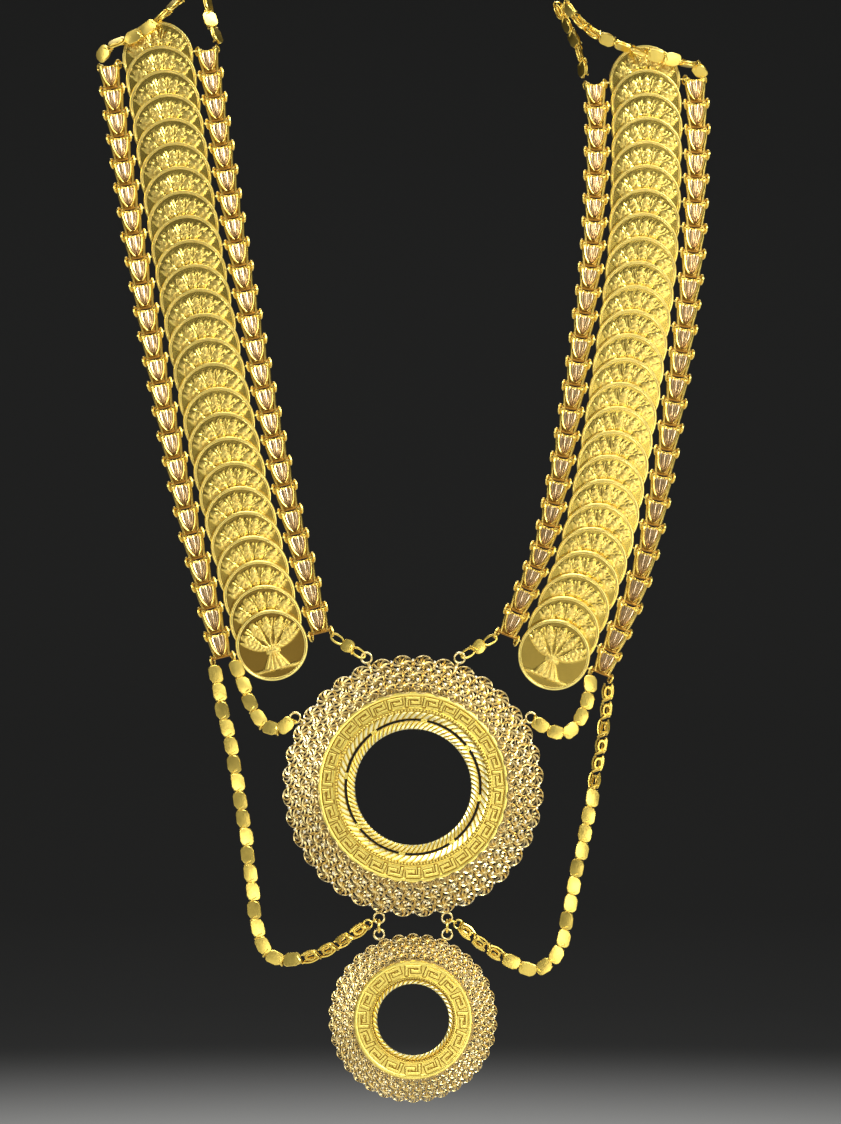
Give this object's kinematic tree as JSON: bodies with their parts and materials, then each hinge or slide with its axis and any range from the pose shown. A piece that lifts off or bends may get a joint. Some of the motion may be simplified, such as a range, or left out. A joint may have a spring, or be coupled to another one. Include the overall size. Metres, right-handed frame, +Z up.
{
  "type": "gold coin necklace",
  "caption": "Long necklace of overlapping gold coins between chains of tulip links, with open round medallions and swags of flat links.",
  "frame": {"origin": "neck side of the clasp, at the nape of the neck", "axes": "+X across to the right as the picture shows it, -Y out of the chest towards the viewer, +Z up"},
  "size_m": [0.191, 0.1407, 0.3888],
  "materials": {
    "coin": "mirror-like field with frosted relief",
    "tulip": "bright cut facets",
    "filigree": "bright wire",
    "frame": "satin",
    "chain": "polished and brushed"
  },
  "bodies": {
    "necklace": {"left_coin_strip": "coin", "right_coin_strip": "coin", "left_outer_border": "tulip", "left_inner_border": "tulip", "right_inner_border": "tulip", "right_outer_border": "tulip", "large_filigree_border": "filigree", "large_coin_frame": "frame", "hanging_rings": "chain", "left_long_swag": "chain", "right_long_swag": "chain", "left_inner_swag": "chain", "right_inner_swag": "chain", "left_short_chain": "chain", "right_short_chain": "chain", "left_outer_neck_chain": "chain", "left_inner_neck_chain": "chain", "right_inner_neck_chain": "chain", "right_outer_neck_chain": "chain", "left_nape_chain": "chain", "right_nape_chain": "chain", "neck_rings": "chain", "clasp": "chain"},
    "small_medallion": {"small_filigree_border": "filigree", "small_coin_frame": "frame"}
  },
  "joints": [
    {"name": "small_medallion_swing", "type": "hinge", "parent": "necklace", "child": "small_medallion", "pos_m": [0.0037, -0.128, -0.33243], "axis": [1, 0, 0], "range_deg": [-90, 90]}
  ]
}
